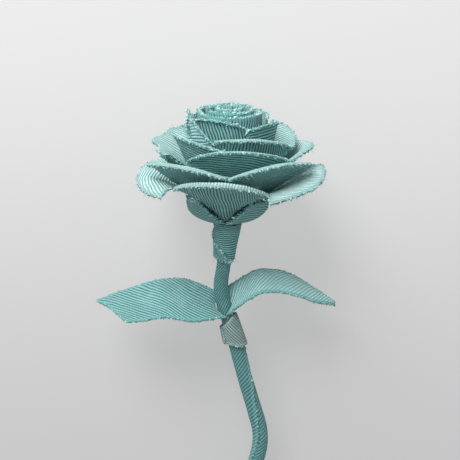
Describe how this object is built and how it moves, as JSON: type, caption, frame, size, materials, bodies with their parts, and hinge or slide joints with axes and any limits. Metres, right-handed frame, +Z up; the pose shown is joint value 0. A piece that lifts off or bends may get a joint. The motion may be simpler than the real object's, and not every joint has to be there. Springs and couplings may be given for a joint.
{
  "type": "fabric rose",
  "caption": "Stemmed rose of ribbed twill cloth: a rolled core inside layered petals with frayed edges, sepals, and leaves on a cloth-wrapped wire stem, lying on its back",
  "frame": {"origin": "bottom centre of the bounding box, on the floor under the middle of the rose as it lies on its back", "axes": "+Y along the stem towards the flower, +Z up out of the front of the rose, +X to its right as the picture shows it"},
  "size_m": [0.106, 0.2204, 0.0718],
  "materials": {
    "teal_twill": "matt ribbed twill, raised pale-edged ribs about 1 mm apart, frayed cut edges",
    "pale_twill": "matt, the paler underside of the same cloth",
    "wire": "bare wire, seen only at the cut end"
  },
  "bodies": {
    "root": {"core_roll": "teal_twill", "petal_inner_front": "teal_twill", "petal_inner_back_right": "teal_twill", "petal_inner_back_left": "teal_twill", "petal_inner_left": "teal_twill", "petal_inner_right": "teal_twill", "petal_upper_left": "teal_twill", "petal_upper_right": "teal_twill", "petal_upper_far_right": "teal_twill", "petal_upper_far_left": "teal_twill", "petal_upper_back_right": "teal_twill", "petal_upper_back_left": "teal_twill", "petal_middle_front": "teal_twill", "petal_middle_side": "teal_twill", "petal_middle_back_right": "teal_twill", "petal_middle_back": "teal_twill", "petal_middle_back_left": "teal_twill", "petal_lower_left": "teal_twill", "petal_lower_right": "teal_twill", "petal_outer_left": "teal_twill", "petal_outer_front": "teal_twill", "petal_outer_right": "teal_twill", "petal_outer_back_right": "teal_twill", "petal_outer_back_mid_right": "teal_twill", "petal_outer_back_mid_left": "teal_twill", "petal_outer_back_left": "teal_twill", "sepal_left": "teal_twill", "sepal_right": "teal_twill", "sepal_back": "teal_twill", "neck_wrap": "teal_twill", "leaf_left": "teal_twill", "leaf_right": "teal_twill", "leaf_binding": "pale_twill", "stem_wrap": "teal_twill", "stem_wire": "wire"}
  },
  "joints": []
}
